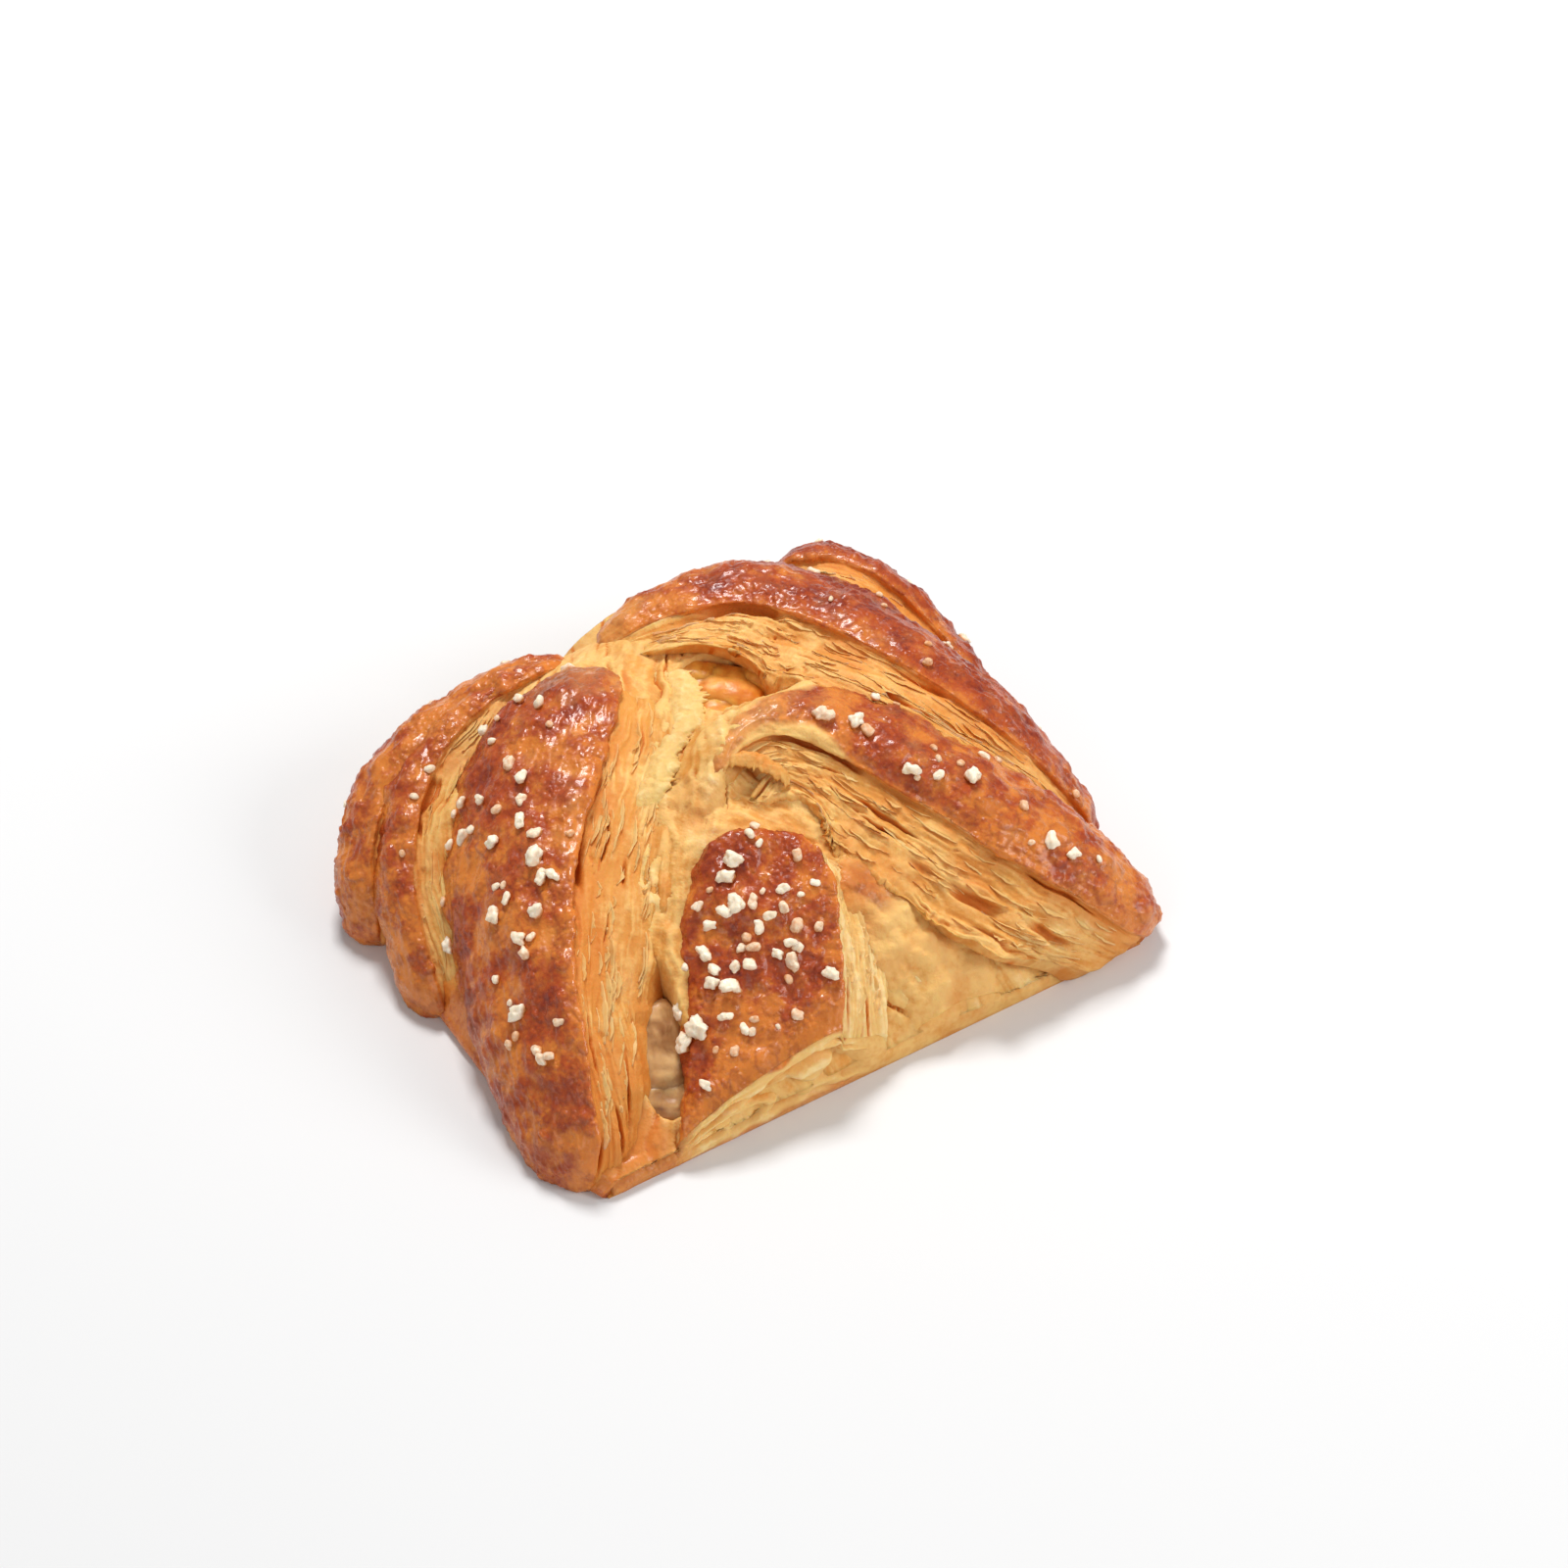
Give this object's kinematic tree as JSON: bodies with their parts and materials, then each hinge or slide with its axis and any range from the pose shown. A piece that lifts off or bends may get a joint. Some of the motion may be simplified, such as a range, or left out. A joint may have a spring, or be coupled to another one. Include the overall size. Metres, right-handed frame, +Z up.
{
  "type": "apple pastry braid",
  "caption": "Baked puff pastry braid: shingled dough strips laid over an apple filling that shows at two openings; flat underside to rest on.",
  "frame": {"origin": "middle of the bounding box's footprint, on the flat underside", "axes": "+X across the braid, +Y from the cut front end to the back, +Z up"},
  "size_m": [0.122, 0.0956, 0.0399],
  "materials": {
    "baked_dough": "glossy egg-washed crust over pale matt layers",
    "apple": "wet gloss"
  },
  "bodies": {
    "root": {"dough": "baked_dough", "apple_filling": "apple"}
  },
  "joints": []
}
